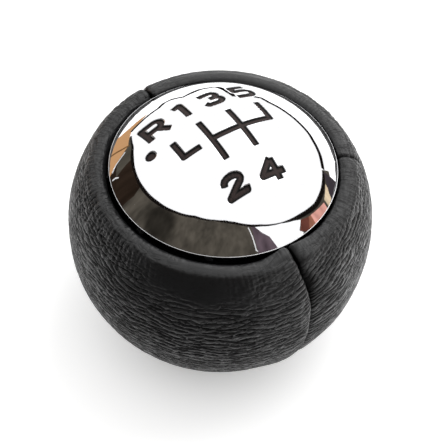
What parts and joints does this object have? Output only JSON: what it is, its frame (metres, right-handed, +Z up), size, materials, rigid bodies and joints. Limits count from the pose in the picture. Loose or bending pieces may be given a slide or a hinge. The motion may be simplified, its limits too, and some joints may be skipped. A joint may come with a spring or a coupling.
{
  "type": "gear shift knob",
  "caption": "Ball-shaped gear shift knob in black leather with a plated domed cap, on a ribbed core with a split sleeve that pushes onto the lever.",
  "frame": {"origin": "middle of the flat foot that the knob stands on, on the lever's axis", "axes": "+Z up along the lever's axis to the top of the cap, +Y to the front of the car, +X to its right"},
  "size_m": [0.05, 0.05, 0.0435],
  "materials": {
    "cap_plating": "polished chrome plating on moulded plastic",
    "core_plastic": "moulded, matt black",
    "leather": "grained leather, semi-matt black",
    "sleeve_nylon": "moulded natural nylon",
    "foot_plastic": "moulded, fine matt texture"
  },
  "bodies": {
    "root": {"cap": "cap_plating", "core": "core_plastic", "leather_left": "leather", "leather_right": "leather", "lever_sleeve": "sleeve_nylon", "foot_ring": "foot_plastic"}
  },
  "joints": []
}
